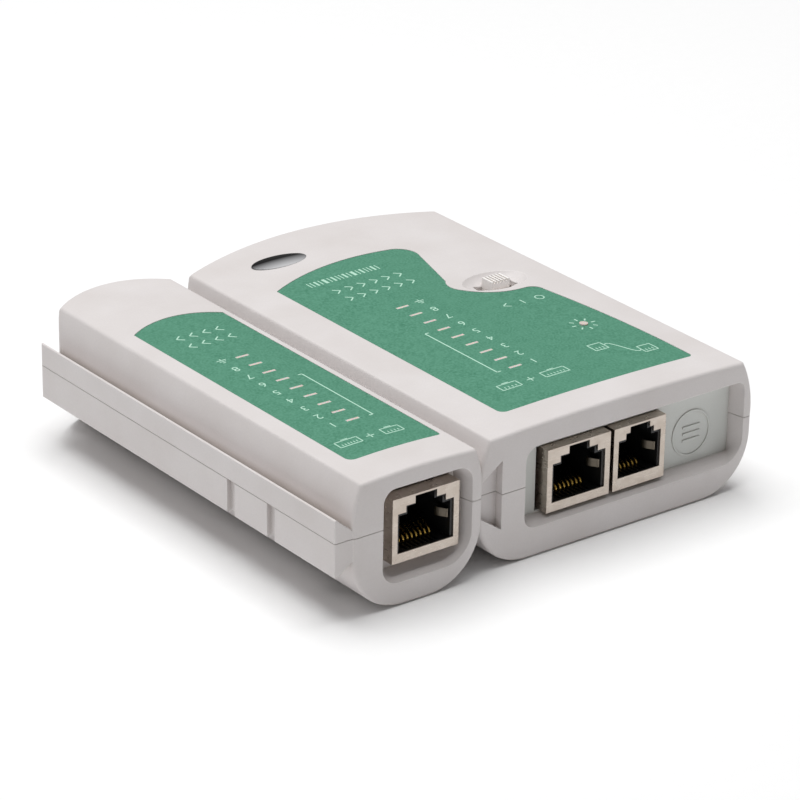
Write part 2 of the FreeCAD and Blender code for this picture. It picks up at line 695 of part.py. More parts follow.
def battery_bay():
    """Ribs round the battery on the floor of the lower shell, and the opening under it."""
    half, rib, top = dim.battery_width / 2 + 0.4, size(1.4), dim.master_parting - 0.5
    front, back = dim.battery_front - 0.4, dim.battery_front + dim.battery_length + 0.4
    ribs = [box("bay_rib_left", (-half - rib, front + 6, 1), (-half, back, top)),
            box("bay_rib_right", (half, front + 6, 1), (half + rib, back, top)),
            box("bay_rib_back", (-half - rib, back, 1), (half + rib, back + rib, top))]
    opening = box("bay_well", (-half + 1.2, dim.door_front + 3, -1), (half - 1.2, back - 0.4, dim.floor + 1))
    return ribs, opening


def battery_door(base_form):
    """The dovetailed door that slides out of the floor towards the back; returns its channel."""
    half, flare = dim.door_width / 2, size(0.9)

    def bar(name, room):
        outline = [(-half + flare - room, -0.5), (half - flare + room, -0.5),
                   (half + room, dim.door_thickness + room), (-half - room, dim.door_thickness + room)]
        return prism(name, "XZ", outline, dim.door_front - room, 120)

    door = common("door_plate", [base_form, bar("door_bar", size(0))])
    grips = [box("door_grip_%d" % number, (-7, 50 + 2.2 * number, -1), (7, 51 + 2.2 * number, 0.5))
             for number in range(6)]
    piece("battery_door", cut("door_cut", door, grips), MASTER)
    return bar("door_channel", dim.fit)


def master_case(front_openings, top_openings):
    """The two shells of the master, the battery door and the case screws; returns the board's holes."""
    split, corner, slot_wall = dim.master_parting, size(5.5), size(-26.3)
    top_form, base_form = [shell_form("master_%s_form" % name, name == "upper", master_half, master_wide,
                                      split, dim.crown, dim.back_radius, corner)
                           for name in ("upper", "lower")]
    hollow = cavity("master_hollow", master_wide - dim.wall, (slot_wall, master_wide - dim.wall),
                    (size(3.5), inner_heel), dim.pocket_depth + dim.panel_thickness, dim.back_radius,
                    corner - dim.wall)
    mouth_x, floor_x = -master_wide - 0.3, -master_wide + dim.slot_depth
    slots = [dovetail("master_slot_" + name, mouth_x, floor_x, dim.rail_middle, dim.slot_mouth - 1.0,
                      dim.slot_floor, start, end)
             for name, start, end in (("front", -1, dim.slot_stop), ("long", dim.slot_stop + 1.6, 120))]
    voids = fuse("master_voids", [hollow] + front_openings + slots)
    low_posts, high_posts, bores, pilots = case_joint("master", base_form, MASTER_POSTS, split)
    bosses, boss_pilots, board_holes = board_joint("master", MASTER_BOSSES, MASTER)

    upper = cut("master_upper_walls", top_form, [voids])
    upper = fuse("master_upper_bossed", [upper] + high_posts + bosses)
    piece("master_upper_shell", cut("master_upper_cut", upper, top_openings + pilots + boss_pilots), MASTER)

    ribs, opening = battery_bay()
    lower = cut("master_lower_walls", base_form, [voids])
    lower = fuse("master_lower_bossed", [lower, low_posts] + ribs)
    channel = battery_door(base_form)
    piece("master_lower_shell", cut("master_lower_cut", lower, bores + [opening, channel]), MASTER)
    case_screws("master_case_screws", MASTER_POSTS, MASTER)
    return board_holes


def battery():
    """The 9 V battery, its two studs, and the snap with two leads."""
    rest = dim.floor + 0.2
    middle, half = rest + dim.battery_depth / 2, dim.battery_width / 2
    front, stud_at = dim.battery_front, 6.35
    outline = rounded((-half, rest), (half, rest + dim.battery_depth), (2.5,) * 4)
    piece("battery_9v", prism("battery_can", "XZ", outline, front, front + dim.battery_length), MASTER)
    pair = [(-stud_at, 2.9), (stud_at, 4.2)]
    studs = [cylinder("battery_stud_%d" % number, (x, front - 2.5, middle), radius, 2.5, "y")
             for number, (x, radius) in enumerate(pair)]
    piece("battery_studs", group("battery_stud_pair", studs), MASTER)
    snap = box("snap_block", (-12.6, front - 4.4, middle - 5.5), (12.6, front - 0.3, middle + 5.5))
    wells = [cylinder("snap_well_%d" % number, (x, front - 2.6, middle), radius + 0.1, 4, "y")
             for number, (x, radius) in enumerate(pair)]
    piece("battery_snap", cut("snap_cut", snap, wells), MASTER)
    lead("battery_lead_red", stud_at, MASTER)
    lead("battery_lead_black", -stud_at, MASTER)


def slide_switch(board):
    """A metal frame on the board, the knob that travels in it, and its terminals."""
    x, y, low, top = dim.switch_at_x, dim.switch_at_y, board_top, board_top + 3.0
    can = box("switch_can", (x - 7, y - 3.3, low), (x + 7, y + 3.3, top))
    room = box("switch_room", (x - 6.2, y - 2.6, low + 0.4), (x + 6.2, y + 2.6, top - 0.4))
    gate = box("switch_gate", (x - 4.5, y - 1.8, top - 1), (x + 4.5, y + 1.8, top + 1))
    piece("switch_frame", cut("switch_frame_cut", can, [room, gate]), MASTER)

    knob_top = dim.body_height + 0.3
    carriage = box("switch_carriage", (x - 4.0, y - 2.5, low + 0.5), (x + 4.0, y + 2.5, top - 0.5))
    stem = box("switch_stem", (x - 2.3, y - 1.7, low + 0.5), (x + 2.3, y + 1.7, knob_top))
    grooves = [box("switch_groove_%d" % number, (x + 0.8 * step - 0.2, y - 3, knob_top - 0.45),
                   (x + 0.8 * step + 0.2, y + 3, knob_top + 1))
               for number, step in enumerate((-2, -1, 0, 1, 2))]
    knob = fuse("switch_slider_whole", [carriage, stem])
    piece("switch_slider", cut("switch_slider_cut", knob, grooves), MASTER)
    pins = [board.leg(x + 2.5 * step, y + side * 2.0, board.under, low)
            for step in (-1.5, -0.5, 0.5, 1.5) for side in (-1, 1)]
    piece("switch_terminals", group("switch_pins", pins), MASTER)


def capacitor(board, x, y):
    """A can lying under the board along X, on two bent legs."""
    leg_x, row, low = size(x) - 0.7, 1.25, dim.board_bottom - 3.2
    can = cylinder("capacitor_can", (x, y, dim.board_bottom - 3.0), 2.5, 8.0, "x")
    legs = [board.leg(leg_x, y + side * row, low, board_top + 0.4) for side in (-1, 1)]
    feet = [box("capacitor_foot_%d" % side, (leg_x - 0.3, y + side * row - 0.25, low),
                (leg_x + 0.9, y + side * row + 0.25, low + 0.4)) for side in (-1, 1)]
    piece("timing_capacitor", fuse("capacitor_whole", [can] + legs + feet), MASTER)


def power_lamp(board):
    """The round lamp under the power lens."""
    x, y = dim.power_at_x, dim.power_at_y
    dome = cylinder("power_lamp_dome", (x, y, board_top + 0.3), 1.5, 2.1)
    legs = [board.leg(x + side * 1.27, y, board.under, board_top + 0.8, 0.45) for side in (-1, 1)]
    piece("power_lamp", fuse("power_lamp_whole", [dome] + legs), MASTER)


def build_master():
    board_holes = master_case(master_front(), master_top())
    socket("master_rj45", "rj45", dim.jack45_at, dim.jack45_width, MASTER)
    socket("master_rj11", "rj11", dim.jack11_at, dim.jack11_width, MASTER)
    battery()

    board = Board("master")
    slide_switch(board)
    lamp_row(board, "master_lamps", dim.master_lamps_at, MASTER)
    power_lamp(board)
    resistor_places = [(5.5, 26.0 + 5.0 * number) for number in range(6)]
    axial_parts(board, "master_resistors", resistor_places, 1.1, 6.0, MASTER)
    pins = chip(board, "control_chip", -8.37, 27.0, 16, MASTER)
    pins += chip(board, "timer_chip", 9.0, 27.0, 8, MASTER)
    piece("chip_pins", group("chip_pin_set", pins), MASTER)
    capacitor(board, 18.0, 38.0)
    notches = jack_holes("master_45", dim.jack45_at, dim.jack45_width, 8)
    notches += jack_holes("master_11", dim.jack11_at, dim.jack11_width, 6)
    notches += posts("master_board_notch", MASTER_POSTS[:2], 15, 26, dim.post_radius + 0.4) + board_holes
    board.plate((-24.0, 6.0), (29.0, 88.0), notches, MASTER)


# ---------------------------------------------------------------- remote unit
REMOTE_POSTS = [(-9.1, 12.0), (0.0, 95.0)]
REMOTE_BOSSES = [(-8.6, 26.0), (-8.6, 84.0), (8.8, 84.0)]


def rail_half(name, seam, edge, root_z):
    """The part of the outer side's dovetail rail on one side of the seam, from there to its edge."""
    root_x, face_x, tuck = -remote_wide, -remote_wide - dim.rail_depth, 1.5
    outline = [(root_x + tuck, seam), (root_x + tuck, root_z), (root_x, root_z), (face_x, edge),
               (face_x, seam)]
    if float(edge) < float(seam):
        outline.reverse()
    rail = prism(name, "XZ", outline, dim.rail_start, dim.rail_end)

    def outer(each):
        bounds = each.BoundBox
        away = max(abs(bounds.ZMin - float(seam)), abs(bounds.ZMax - float(seam)))
        return bounds.XMax < float(face_x) + 0.01 and away > 0.01

    return soften(rail, 0.3, outer, name + "_edges")


def remote_rail(split):
    """The two halves of the rail, and the notches in the lower one."""
    half_gap, half_root = dim.parting_gap / 2, dim.rail_root / 2
    upper = rail_half("remote_upper_rail", split + half_gap, dim.rail_top, dim.rail_middle + half_root)
    lower = rail_half("remote_lower_rail", split - half_gap, dim.rail_bottom, dim.rail_middle - half_root)
    face_x, half = -remote_wide - dim.rail_depth, 1.25
    notches = [box("rail_notch_%d" % number, (face_x - 1, y - half, 0),
                   (face_x + dim.notch_depth, y + half, split))
               for number, y in enumerate((size(20.3), size(33.3)))]
    return upper, lower, notches


def remote_label(crown):
    """The printed plate of the remote's top, with a curved end at the back; returns its recess."""
    outline = [(-7.8, 8.9), (11.0, 8.9, 0.8), (11.8, 9.7), (11.8, 80.4, 18.7), (-9.4, 80.4),
               (-9.4, 10.5, 1.6)]
    holes = lamp_bars("remote_lamp_slot", dim.remote_lamps_at, 22)
    recess = inset("remote_label", prism("remote_label_form", "XY", outline, 20, 40), remote_half, crown,
                   dim.label_sink, dim.label_thickness, holes, REMOTE)
    light_windows("remote", dim.remote_lamps_at, remote_half, crown, REMOTE, dim.remote_lift)
    return [recess] + holes


def remote_front(centre):
    """The pocket round the remote's socket, and the gate in the wall behind it."""
    room, half = 0.15, dim.jack45_width / 2
    outline = rounded((centre - 10.9, 4.9), (centre + 9.8, 24.4), (3.6, 6.0, 3.4, 2.8))
    pocket = prism("remote_pocket", "XZ", outline, 0, 4.8, -12.0)
    gate = box("remote_gate", (centre - half - room, 1, jack_bottom + dim.remote_lift - room),
               (centre + half + room, 10, dim.board_bottom + dim.remote_lift + room))
    return [pocket, gate]


def remote_case():
    """The two shells of the remote with the rail, and the case screws; returns the board's holes."""
    split, crown, corner = dim.remote_parting, size(0.5), size(4.5)
    inner, front_wall = remote_wide - dim.wall, size(6.4)
    top_form, base_form = [shell_form("remote_%s_form" % name, name == "upper", remote_half, remote_wide,
                                      split, crown, dim.remote_back_radius, corner)
                           for name in ("upper", "lower")]
    hollow = cavity("remote_hollow", inner, (-inner, inner), (inner_heel, inner_heel), front_wall,
                    dim.remote_back_radius, corner - dim.wall)
    voids = fuse("remote_voids", [hollow] + remote_front(dim.remote_axis))
    upper_rail, lower_rail, notches = remote_rail(split)
    low_posts, high_posts, bores, pilots = case_joint("remote", base_form, REMOTE_POSTS, split)
    bosses, boss_pilots, board_holes = board_joint("remote", REMOTE_BOSSES, REMOTE_INSIDE, dim.remote_lift)

    upper = cut("remote_upper_walls", fuse("remote_upper_railed", [top_form, upper_rail]), [voids])
    upper = fuse("remote_upper_bossed", [upper] + high_posts + bosses)
    openings = remote_label(crown) + pilots + boss_pilots
    piece("remote_upper_shell", cut("remote_upper_cut", upper, openings), REMOTE)

    lower = cut("remote_lower_walls", fuse("remote_lower_railed", [base_form, lower_rail]), [voids])
    lower = fuse("remote_lower_bossed", [lower, low_posts])
    piece("remote_lower_shell", cut("remote_lower_cut", lower, bores + notches), REMOTE)
    case_screws("remote_case_screws", REMOTE_POSTS, REMOTE)
    return board_holes


def build_remote():
    board_holes = remote_case()
    socket("remote_rj45", "rj45", dim.remote_axis, dim.jack45_width, REMOTE_INSIDE)
    board = Board("remote")
    lamp_row(board, "remote_lamps", dim.remote_lamps_at, REMOTE_INSIDE)
    diode_places = [(-5.2, 31.0 + 6.0 * number) for number in range(8)]
    axial_parts(board, "remote_diodes", diode_places, 0.9, 4.0, REMOTE_INSIDE)
    notches = jack_holes("remote_45", dim.remote_axis, dim.jack45_width, 8) + board_holes
    notches += posts("remote_board_notch", REMOTE_POSTS[:1], 15, 26, dim.post_radius + 0.4)
    board.plate((-11.4, 7.0), (11.4, 88.0), notches, REMOTE_INSIDE)


def export():
    """Check every object and every piece, then write one file per piece."""
    doc.recompute()
    failed = [item.Name for item in doc.Objects if {"Invalid", "Error"} & set(item.State)]
    if failed:
        raise RuntimeError("objects that did not recompute: %s" % ", ".join(failed))
    os.makedirs("parts", exist_ok=True)
    for node, item in PIECES.items():
        if item.Shape.isNull() or not item.Shape.isValid() or item.Shape.Volume <= 0:
            raise RuntimeError("%s has no valid solid" % node)
        item.Shape.exportStep("parts/%s.step" % node)
        print("%-24s %9.2f mm3, %d solids" % (node, item.Shape.Volume, len(item.Shape.Solids)))


build_master()
build_remote()
export()
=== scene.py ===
"""The looks of a network cable tester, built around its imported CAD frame.

The master unit lies on the +X side and the remote unit on the -X side; their sockets face -Y.
Places on a label are millimetres in its unit's own local frame: X from the unit's middle, Y from
its front face. Lengths that are given in millimetres elsewhere are turned into metres with MM, and
everything else is in metres, in the frame's own axes.
"""
import json
import math

import bmesh
import bpy
from mathutils import Matrix, Vector
from mathutils.bvhtree import BVHTree


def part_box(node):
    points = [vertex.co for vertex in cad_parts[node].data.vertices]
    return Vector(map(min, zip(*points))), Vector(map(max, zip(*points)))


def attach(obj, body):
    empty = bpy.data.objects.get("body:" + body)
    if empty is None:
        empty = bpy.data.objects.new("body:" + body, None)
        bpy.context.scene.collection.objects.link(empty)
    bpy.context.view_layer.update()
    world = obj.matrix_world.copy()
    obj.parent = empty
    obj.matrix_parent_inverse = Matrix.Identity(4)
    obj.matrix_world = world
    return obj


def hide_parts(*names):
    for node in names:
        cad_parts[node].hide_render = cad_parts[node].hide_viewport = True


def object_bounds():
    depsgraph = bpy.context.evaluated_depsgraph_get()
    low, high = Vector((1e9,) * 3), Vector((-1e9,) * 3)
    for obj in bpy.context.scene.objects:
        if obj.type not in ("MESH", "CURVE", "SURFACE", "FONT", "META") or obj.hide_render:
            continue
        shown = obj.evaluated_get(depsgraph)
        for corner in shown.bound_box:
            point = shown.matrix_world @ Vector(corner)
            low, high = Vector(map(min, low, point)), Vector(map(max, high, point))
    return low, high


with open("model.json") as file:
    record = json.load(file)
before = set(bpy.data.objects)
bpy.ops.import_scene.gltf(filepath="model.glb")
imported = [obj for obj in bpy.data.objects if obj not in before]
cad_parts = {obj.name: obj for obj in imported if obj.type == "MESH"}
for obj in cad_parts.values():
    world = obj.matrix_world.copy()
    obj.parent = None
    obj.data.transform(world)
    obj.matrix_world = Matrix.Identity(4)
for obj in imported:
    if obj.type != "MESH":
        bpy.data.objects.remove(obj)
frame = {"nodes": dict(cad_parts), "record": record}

cad_low, cad_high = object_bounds()
nodes = frame["nodes"]
slots = {part["node"]: part["material_slot"] for part in frame["record"]["subparts"]}
bodies = frame["record"]["behaviour"]["bodies"]
body_of = {node: body for body, names in bodies.items() for node in names}
MM = 0.001
MASTER_HALF, REMOTE_HALF = 34.13, 15.0      # from a unit's middle to its +X side, in millimetres
LAMPS = 9


# ---------------------------------------------------------------- places
def unit_place(shell, half_width):
    """A unit's local origin: its middle, its front face and the surface it stands on."""
    low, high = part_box(shell)
    return Vector((high.x - half_width * MM, low.y, 0))


MASTER = unit_place("master_upper_shell", MASTER_HALF)
REMOTE = unit_place("remote_upper_shell", REMOTE_HALF)


class Row:
    """The nine lamp windows of a unit: where the row stands across, and each window along Y."""

    def __init__(self, node, unit, window_width=0.7):
        low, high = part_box(node)
        self.across = ((low.x + high.x) / 2 - unit.x) / MM
        first, last = (low.y - unit.y) / MM + window_width / 2, (high.y - unit.y) / MM - window_width / 2
        pitch = (last - first) / (LAMPS - 1)
        self.along = [first + pitch * number for number in range(LAMPS)]


# ---------------------------------------------------------------- paint
def shade(red, green, blue):
    """A colour as it looks on a screen, 0 to 255, as the linear colour that a shader takes."""
    parts = [value / 255 for value in (red, green, blue)]
    return tuple(v / 12.92 if v <= 0.04045 else ((v + 0.055) / 1.055) ** 2.4 for v in parts) + (1.0,)


class Paint:
    """A procedural material: a Principled shader, fed by nodes that read the object's own place."""

    def __init__(self, name):
        self.material = bpy.data.materials.new(name)
        self.material.use_nodes = True
        self.tree = self.material.node_tree
        self.shader = self.tree.nodes["Principled BSDF"]
        self.place = self.add("ShaderNodeTexCoord").outputs["Object"]

    def add(self, kind, inputs=None, **settings):
        """A new shader node of a kind, with its settings made and its inputs fed."""
        node = self.tree.nodes.new(kind)
        for name, value in settings.items():
            setattr(node, name, value)
        for name, value in (inputs or {}).items():
            self.feed(node.inputs[name], value)
        return node

    def feed(self, socket, value):
        """Links a socket to another node's output, or sets it to a plain value."""
        if isinstance(value, bpy.types.NodeSocket):
            self.tree.links.new(value, socket)
        else:
            socket.default_value = value

    def set(self, **inputs):
        """Principled inputs by name, with _ for a space."""
        for name, value in inputs.items():
            self.feed(self.shader.inputs[name.replace("_", " ")], value)

    def stretched(self, x, y, z):
        """The object's own coordinates, each axis scaled."""
        scaled = self.add("ShaderNodeVectorMath", {0: self.place, 1: (x, y, z)}, operation="MULTIPLY")
        return scaled.outputs[0]

    def noise(self, size, detail=2.0, place=None):
        """Smooth noise from 0 to 1, whose features are about size millimetres wide."""
        inputs = {"Vector": place or self.place, "Scale": 1 / (size * MM), "Detail": detail}
        return self.add("ShaderNodeTexNoise", inputs).outputs["Fac"]

    def spread(self, value, low, high, start=0.3, end=0.7):
        """A value from start..end, mapped to low..high."""
        inputs = {"Value": value, "From Min": start, "From Max": end, "To Min": low, "To Max": high}
        return self.add("ShaderNodeMapRange", inputs).outputs["Result"]

    def mix(self, share, first, second):
        """The first colour where the share is 0, the second where it is 1."""
        node = self.add("ShaderNodeMix", data_type="RGBA")
        self.feed(node.inputs["Factor"], share)
        self.feed(node.inputs["A"], first)
        self.feed(node.inputs["B"], second)
        return node.outputs["Result"]

    def math(self, way, first, second):
        """One of the math node's sums, such as MULTIPLY."""
        return self.add("ShaderNodeMath", {0: first, 1: second}, operation=way).outputs[0]

    def bump(self, height, depth, radius=0.0):
        """Relief of the given depth in millimetres; a radius also softens the shading of sharp edges."""
        inputs = {"Height": height, "Distance": depth * MM, "Strength": 1.0}
        if radius:
            inputs["Normal"] = self.rounded_normal(radius)
        return self.add("ShaderNodeBump", inputs).outputs["Normal"]

    def rounded_normal(self, radius):
        """The surface's normal, turned gently within a radius in millimetres of each edge."""
        return self.add("ShaderNodeBevel", {"Radius": radius * MM}, samples=4).outputs["Normal"]

    def edges(self, radius):
        """1 on a sharp corner, 0 on flat faces: where a painted highlight goes, and where hands and
        tables rub.
        """
        flat = self.add("ShaderNodeNewGeometry").outputs["Normal"]
        rounded = self.rounded_normal(radius)
        match = self.add("ShaderNodeVectorMath", {0: flat, 1: rounded}, operation="DOT_PRODUCT")
        return self.spread(match.outputs["Value"], 1.0, 0.0, 0.9, 0.995)

    def along(self, axis):
        """The object's own coordinate on one axis."""
        return self.add("ShaderNodeSeparateXYZ", {0: self.place}).outputs[axis]

    def crevices(self, reach):
        """1 in tight corners, 0 in the open."""
        node = self.add("ShaderNodeAmbientOcclusion", {"Distance": reach * MM}, samples=6)
        return self.spread(node.outputs["AO"], 1.0, 0.0, 0.25, 0.85)


def seam_shadow(paint):
    """1 where a housing's two shells meet, which may be at a different height on each unit."""
    gap, dark_within, clear_from = 0.1 * MM, 0.08 * MM, 0.16 * MM
    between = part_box("master_upper_shell")[0].x - gap
    remote_seam, master_seam = (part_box(unit + "_lower_shell")[1].z for unit in ("remote", "master"))
    height = paint.spread(paint.along("X"), remote_seam, master_seam, between - gap, between + gap)
    away = paint.math("ABSOLUTE", paint.math("SUBTRACT", paint.along("Z"), height), 0.0)
    return paint.spread(away, 1.0, 0.0, dark_within, clear_from)


def moulded(name, light, dark, depth=0.012, rough=(0.5, 0.62), corner_shade_colour=None, radius=0.15, cased=False):
    """Moulded plastic with a spark-eroded texture, slow mottling, smoother worn edges and painted shade
    in its tight corners.

    A cased one, the housing, also has a painted highlight along its edges and a painted shadow line where
    its shells meet.
    """
    paint = Paint(name)
    texture = paint.noise(0.35, 3.0)
    mottling = paint.spread(paint.noise(14.0, 3.0), 0.0, 1.0)
    pores = tuple(part * 0.75 for part in dark[:3]) + (1,)
    corner_shade, edge_highlight_and_wear = paint.math("MULTIPLY", paint.crevices(1.6), 0.5), paint.edges(0.3)
    colour = paint.mix(mottling, light, dark)
    colour = paint.mix(paint.spread(texture, 0.0, 0.10), colour, pores)
    # Painted shade: tight corners, found by ambient occlusion, are darkened towards the corner shade
    # colour.
    colour = paint.mix(corner_shade, colour, corner_shade_colour or dark)
    if cased:
        edge_highlight_tone, seam = shade(252, 248, 246), shade(112, 100, 90)
        # Painted highlight: the housing's sharp edges are lightened towards a near-white tone. Their
        # lower roughness below is wear.
        colour = paint.mix(paint.math("MULTIPLY", edge_highlight_and_wear, 0.7), colour, edge_highlight_tone)
        colour = paint.mix(paint.math("MULTIPLY", seam_shadow(paint), 0.35), colour, seam)
    paint.set(Base_Color=colour, IOR=1.5)
    roughness = paint.spread(texture, rough[0], rough[1])
    paint.set(Roughness=paint.math("SUBTRACT", roughness, paint.math("MULTIPLY", edge_highlight_and_wear, 0.1)))
    paint.set(Normal=paint.bump(texture, depth, radius))
    return paint.material


def plated(name, light, dark, rough=(0.24, 0.4), stretch=(1, 1, 1)):
    """Plated sheet metal with drawn grain and a slow warm tarnish."""
    paint = Paint(name)
    grain = paint.noise(0.5, 4.0, paint.stretched(*stretch))
    cloud = paint.spread(paint.noise(2.2, 3.0), 0.0, 0.35)
    paint.set(Base_Color=paint.mix(cloud, light, dark), Metallic=1.0)
    paint.set(Roughness=paint.spread(grain, rough[0], rough[1]))
    paint.set(Normal=paint.bump(grain, 0.004, 0.08))
    return paint.material


def contact_gold(name):
    """Gold wash: bright on the front bends of the contact wires, with painted shade where they run back
    inside.
    """
    paint = Paint(name)
    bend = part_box("master_rj45_shield")[0].y + 3.9 * MM
    inward_shade = paint.spread(paint.along("Y"), 0.0, 1.0, bend, bend + 1.1 * MM)
    grain = paint.noise(0.5, 4.0)
    cloud = paint.spread(paint.noise(2.2, 3.0), 0.0, 0.35)
    bright = paint.mix(cloud, shade(244, 204, 108), shade(206, 158, 70))
    # Painted shade: the wires darken to a deep brown behind their front bends, inside the socket.
    paint.set(Base_Color=paint.mix(inward_shade, bright, shade(64, 50, 26)), Metallic=1.0)
    paint.set(Roughness=paint.spread(grain, 0.2, 0.32), Normal=paint.bump(grain, 0.004, 0.08))
    return paint.material


def film(name, light, dark):
    """Satin printed film: fine speckle in the ink, and a slight orange-peel face."""
    paint = Paint(name)
    speckle = paint.noise(0.45, 4.0)
    patch = paint.spread(paint.noise(3.0, 2.0), 0.0, 0.5)
    colour = paint.mix(paint.spread(speckle, 0.0, 1.0, 0.36, 0.64), dark, light)
    colour = paint.mix(patch, colour, light)
    paint.set(Base_Color=colour, Roughness=paint.spread(speckle, 0.34, 0.46), IOR=1.48)
    paint.set(Normal=paint.bump(speckle, 0.005))
    return paint.material


def ink(name, colour, edge_highlight_and_wear):
    """Screen-printed ink, a little uneven in its cover."""
    paint = Paint(name)
    cover = paint.noise(0.25, 3.0)
    paint.set(Base_Color=paint.mix(paint.spread(cover, 0.0, 0.5), colour, edge_highlight_and_wear), Roughness=0.5)
    paint.set(Normal=paint.bump(cover, 0.003))
    return paint.material


def frosted(name, light, dark):
    """Frosted clear plastic that scatters the light within it."""
    paint = Paint(name)
    cloud = paint.noise(0.6, 3.0)
    paint.set(Base_Color=paint.mix(paint.spread(cloud, 0.0, 1.0), light, dark), IOR=1.5)
    paint.set(Subsurface_Weight=0.25, Subsurface_Scale=0.6 * MM)
    paint.set(Roughness=paint.spread(cloud, 0.28, 0.42), Normal=paint.bump(cloud, 0.006, 0.08))
    return paint.material


def glossy(name, light, dark):
    """Lacquer or bright moulding: deep colour under a clear coat."""
    paint = Paint(name)
    cloud = paint.noise(1.5, 3.0)
    paint.set(Base_Color=paint.mix(paint.spread(cloud, 0.0, 1.0), light, dark), IOR=1.5)
    paint.set(Roughness=paint.spread(paint.noise(0.3, 4.0), 0.08, 0.16), Coat_Weight=0.5)
    paint.set(Coat_Roughness=0.06, Normal=paint.bump(cloud, 0.004, 0.1))
    return paint.material


def board_paint(name):
    """Paper-phenolic board: brown sheet with a pressed fibre pattern."""
    paint = Paint(name)
    fibre = paint.noise(0.8, 5.0, paint.stretched(1, 0.15, 1))
    colour = paint.mix(paint.spread(fibre, 0.0, 1.0), shade(168, 128, 72), shade(132, 92, 48))
    paint.set(Base_Color=colour, Roughness=paint.spread(fibre, 0.4, 0.55))
    paint.set(Normal=paint.bump(fibre, 0.008, 0.1))
    return paint.material


def battery_paint(name):
    """A printed steel jacket: dark, with a warm band around its stud end."""
    paint = Paint(name)
    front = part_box("battery_9v")[0].y
    band = paint.spread(paint.along("Y"), 1.0, 0.0, front + 9 * MM, front + 9.3 * MM)
    scuff = paint.noise(0.9, 4.0, paint.stretched(1, 0.3, 1))
    colour = paint.mix(band, shade(38, 40, 44), shade(176, 118, 52))
    colour = paint.mix(paint.spread(scuff, 0.0, 0.18), colour, shade(120, 118, 112))
    paint.set(Base_Color=colour, Metallic=0.6, Roughness=paint.spread(scuff, 0.28, 0.42))
    paint.set(Coat_Weight=0.3, Normal=paint.bump(scuff, 0.004, 0.2))
    return paint.material


def badge_paint(name):
    """A black resin dome with a painted grey reflection that grows towards the front."""
    paint = Paint(name)
    low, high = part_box("oval_badge")
    reflection_ends = low.y + (high.y - low.y) * 0.62
    painted_reflection = paint.spread(paint.along("Y"), 1.0, 0.0, low.y, reflection_ends)
    cloud = paint.noise(0.8, 3.0)
    # Painted reflection: grey at the front of the dome, black towards the back.
    colour = paint.mix(painted_reflection, shade(8, 8, 9), shade(200, 200, 202))
    paint.set(Base_Color=colour, Roughness=paint.spread(cloud, 0.08, 0.14), IOR=1.22)
    paint.set(Normal=paint.bump(cloud, 0.003))
    return paint.material


def make_paints():
    """One material for each of the record's slots, one for the ink, and a darker, shaded copy of the
    nickel for the spring tabs.
    """
    # corner_shade_tone is the darker tone of the painted shade in the housing's and panel's corners.
    abs_light, abs_dark, corner_shade_tone = shade(223, 218, 217), shade(216, 210, 208), shade(166, 157, 148)
    return {
        "housing_abs": moulded("housing_abs", abs_light, abs_dark, corner_shade_colour=corner_shade_tone, radius=0.32, cased=True),
        "panel_abs": moulded("panel_abs", shade(221, 223, 219), shade(211, 213, 209), depth=0.005,
                             corner_shade_colour=corner_shade_tone),
        "knob_cream": moulded("knob_cream", shade(254, 251, 249), shade(250, 246, 243), depth=0.004,
                              rough=(0.38, 0.48), corner_shade_colour=shade(216, 207, 198)),
        "insert_black": moulded("insert_black", shade(30, 30, 31), shade(22, 22, 23), depth=0.004,
                                rough=(0.34, 0.46)),
        "chip_black": moulded("chip_black", shade(34, 34, 36), shade(26, 26, 28)),
        "snap_vinyl": moulded("snap_vinyl", shade(28, 28, 28), shade(20, 20, 20), rough=(0.42, 0.55)),
        "lead_red": moulded("lead_red", shade(176, 30, 24), shade(150, 22, 18), rough=(0.35, 0.45)),
        "lead_black": moulded("lead_black", shade(26, 26, 26), shade(18, 18, 18), rough=(0.35, 0.45)),
        "nickel": plated("nickel", shade(201, 191, 181), shade(162, 145, 128), stretch=(0.3, 0.3, 3)),
        # Painted shade: the spring tabs sit in the sockets' mouths, so they get a darker copy of the
        # nickel.
        "shaded_tab_nickel": plated("shaded_tab_nickel", shade(128, 120, 108), shade(92, 84, 74), rough=(0.34, 0.5)),
        "tin": plated("tin", shade(214, 214, 214), shade(178, 176, 172)),
        "screw_zinc": plated("screw_zinc", shade(206, 204, 196), shade(168, 160, 140)),
        "gold": contact_gold("gold"),
        "label_film": film("label_film", shade(90, 152, 126), shade(62, 127, 100)),
        "clear_bar": frosted("clear_bar", shade(226, 214, 206), shade(212, 196, 188)),
        "lamp_red": frosted("lamp_red", shade(196, 40, 32), shade(168, 26, 22)),
        "lamp_green": frosted("lamp_green", shade(176, 220, 190), shade(150, 204, 170)),
        "badge_black": badge_paint("badge_black"),
        "board_phenolic": board_paint("board_phenolic"),
        "resistor_tan": glossy("resistor_tan", shade(206, 176, 128), shade(188, 156, 108)),
        "diode_glass": glossy("diode_glass", shade(190, 96, 44), shade(150, 66, 30)),
        "capacitor_sleeve": glossy("capacitor_sleeve", shade(26, 44, 92), shade(20, 32, 72)),
        "battery_case": battery_paint("battery_case"),
        "label_ink": ink("label_ink", shade(192, 232, 212), shade(160, 208, 184)),
    }


PAINTS = make_paints()


def coat(piece, slot):
    """Gives a piece one paint."""
    piece.data.materials.clear()
    piece.data.materials.append(PAINTS[slot])


# ---------------------------------------------------------------- forms
def circle(sides):
    """The cosine and sine of even steps around a circle."""
    turns = [2 * math.pi * step / sides for step in range(sides)]
    return [(math.cos(turn), math.sin(turn)) for turn in turns]


